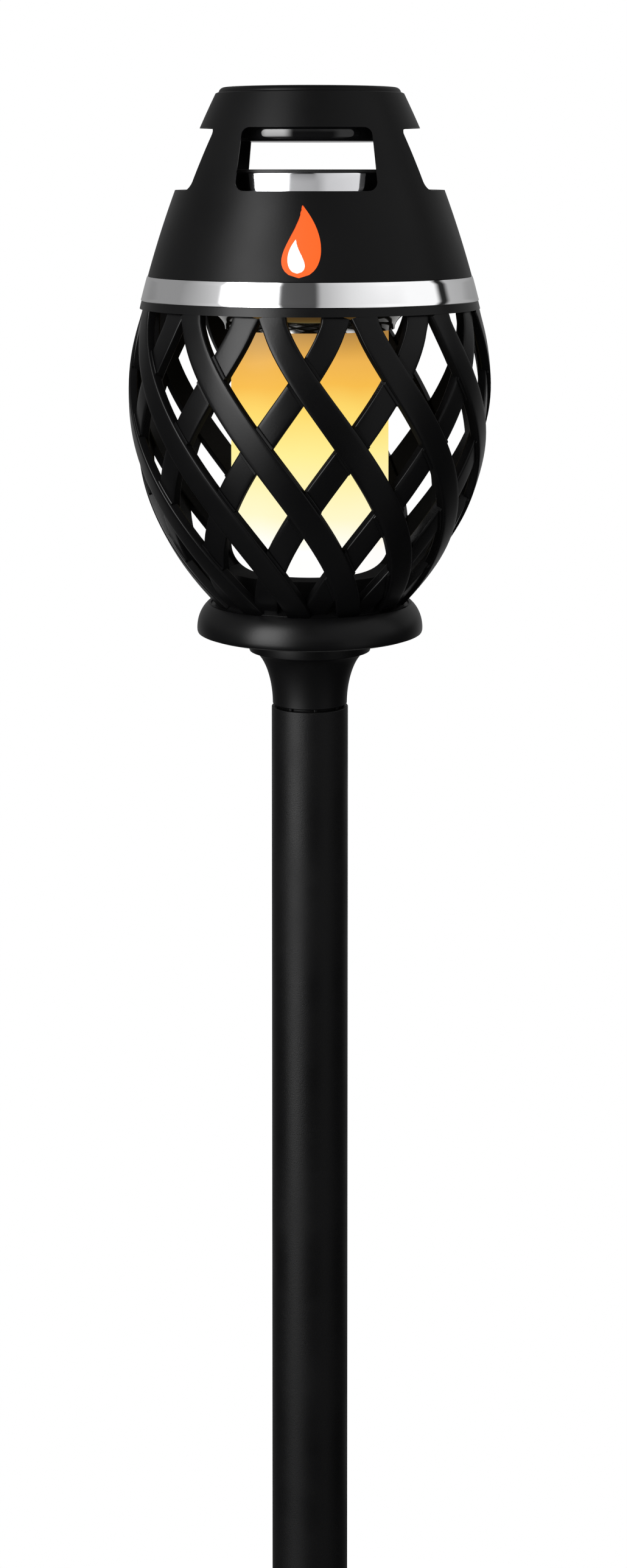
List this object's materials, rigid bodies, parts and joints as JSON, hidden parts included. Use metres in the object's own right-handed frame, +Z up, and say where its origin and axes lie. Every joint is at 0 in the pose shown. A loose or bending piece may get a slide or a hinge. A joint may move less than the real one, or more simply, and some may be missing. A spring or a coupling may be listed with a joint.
{
  "type": "garden torch speaker on a pole",
  "caption": "Egg-shaped garden torch head with a flame light, lattice cage and speaker, on a sectional pole with a ground stake.",
  "frame": {"origin": "on the pole's axis at ground level, at the underside of the stake's foot plate", "axes": "+Z up along the pole, -Y towards the front of the head, +X to its right"},
  "size_m": [0.1196, 0.1196, 1.2959],
  "materials": {
    "shell_black": "fine matte ABS",
    "gloss_black": "polished black",
    "chrome_trim": "bright plated trim",
    "chrome_deck": "bright plated ring",
    "grille_black": "perforated, black",
    "inner_black": "plain moulded",
    "basket_steel": "zinc plated",
    "magnet": "ferrite",
    "coil_copper": "copper winding",
    "cone_paper": "coated paper",
    "surround_rubber": "soft roll",
    "spider_cloth": "resin-treated cloth",
    "screw_steel": "blackened",
    "lead_wire": "insulated",
    "cage_black": "satin moulded lattice",
    "reflector_chrome": "metallised bowl",
    "diffuser_frost": "frosted, lit from inside",
    "lamp_core_white": "plain moulded",
    "board_green": "solder mask",
    "lamp_yellow": "lamp lens",
    "cell_blue": "shrink sleeve",
    "chip_black": "moulded",
    "shield_metal": "tinned",
    "base_black": "satin",
    "foot_rubber": "soft, matte",
    "light_clear": "clear rod",
    "button_black": "soft touch",
    "stud_metal": "turned thread",
    "adapter_black": "satin",
    "pole_paint": "fine-textured powder coat",
    "coupler_black": "plain moulded",
    "stake_black": "plain moulded"
  },
  "bodies": {
    "upper_pole": {"upper_pole": "pole_paint"},
    "adapter": {"pole_adapter": "adapter_black", "adapter_stud": "stud_metal"},
    "washer": {"adapter_washer": "foot_rubber"},
    "head": {"upper_shell": "shell_black", "sound_reflector": "gloss_black", "trim_band": "chrome_trim", "deck_ring": "chrome_deck", "speaker_grille": "grille_black", "speaker_baffle": "inner_black", "driver_basket": "basket_steel", "driver_magnet": "magnet", "driver_top_plate": "basket_steel", "driver_yoke": "basket_steel", "cone_surround": "surround_rubber", "cone_spider": "spider_cloth", "driver_screws": "screw_steel", "speaker_leads": "lead_wire", "lattice_cage": "cage_black", "cage_screws": "screw_steel", "glow_reflector": "reflector_chrome", "flame_diffuser": "diffuser_frost", "lamp_core": "lamp_core_white", "lamp_board": "board_green", "flame_lamps": "lamp_yellow", "battery_cell": "cell_blue", "battery_cradle": "inner_black", "base_tray": "inner_black", "main_board": "board_green", "board_parts": "chip_black", "radio_module": "shield_metal", "charging_socket": "shield_metal", "tact_switches": "chip_black", "base_ring": "base_black", "base_cover": "base_black", "base_screws": "screw_steel", "foot_ring": "foot_rubber", "light_pipe": "light_clear"},
    "middle_pole": {"middle_pole": "pole_paint", "upper_coupler": "coupler_black"},
    "lower_pole": {"lower_pole": "pole_paint", "lower_coupler": "coupler_black"},
    "stake": {"ground_stake": "stake_black"},
    "port_cover": {"port_cover": "foot_rubber"},
    "cone": {"speaker_cone": "cone_paper", "dust_cap": "cone_paper", "voice_coil": "coil_copper"},
    "power_button": {"power_button": "button_black"},
    "volume_down_button": {"volume_down_button": "button_black"},
    "play_button": {"play_button": "button_black"},
    "volume_up_button": {"volume_up_button": "button_black"},
    "light_button": {"light_button": "button_black"}
  },
  "joints": [
    {"name": "adapter_pull", "type": "slide", "parent": "upper_pole", "child": "adapter", "axis": [0, 0, 1], "range_m": [0, 0.02]},
    {"name": "head_lift", "type": "slide", "parent": "adapter", "child": "washer", "axis": [0, 0, 1], "range_m": [0, 0.006]},
    {"name": "head_turn", "type": "hinge", "parent": "washer", "child": "head", "pos_m": [0, 0, 0.9459], "axis": [0, 0, 1], "range_deg": [0, 720]},
    {"name": "middle_pull", "type": "slide", "parent": "upper_pole", "child": "middle_pole", "axis": [0, 0, -1], "range_m": [0, 0.028]},
    {"name": "lower_pull", "type": "slide", "parent": "middle_pole", "child": "lower_pole", "axis": [0, 0, -1], "range_m": [0, 0.028]},
    {"name": "stake_pull", "type": "slide", "parent": "lower_pole", "child": "stake", "axis": [0, 0, -1], "range_m": [0, 0.028]},
    {"name": "power_press", "type": "slide", "parent": "head", "child": "power_button", "axis": [0, 0, 1], "range_m": [0, 0.0005], "stiffness_N_per_m": 400},
    {"name": "volume_down_press", "type": "slide", "parent": "head", "child": "volume_down_button", "axis": [0, 0, 1], "range_m": [0, 0.0005], "stiffness_N_per_m": 400},
    {"name": "play_press", "type": "slide", "parent": "head", "child": "play_button", "axis": [0, 0, 1], "range_m": [0, 0.0005], "stiffness_N_per_m": 400},
    {"name": "volume_up_press", "type": "slide", "parent": "head", "child": "volume_up_button", "axis": [0, 0, 1], "range_m": [0, 0.0005], "stiffness_N_per_m": 400},
    {"name": "light_press", "type": "slide", "parent": "head", "child": "light_button", "axis": [0, 0, 1], "range_m": [0, 0.0005], "stiffness_N_per_m": 400},
    {"name": "port_cover_swing", "type": "hinge", "parent": "head", "child": "port_cover", "pos_m": [0, 0.02765, 0.94715], "axis": [1, 0, 0], "range_deg": [0, 100]},
    {"name": "cone_move", "type": "slide", "parent": "head", "child": "cone", "axis": [0, 0, 1], "range_m": [-0.001, 0.001], "stiffness_N_per_m": 2000, "deforming": ["cone_surround", "cone_spider"]}
  ],
  "couplings": [
    {"joint": "head_lift", "follows": "head_turn", "m_per_rad": 0.00047746}
  ]
}
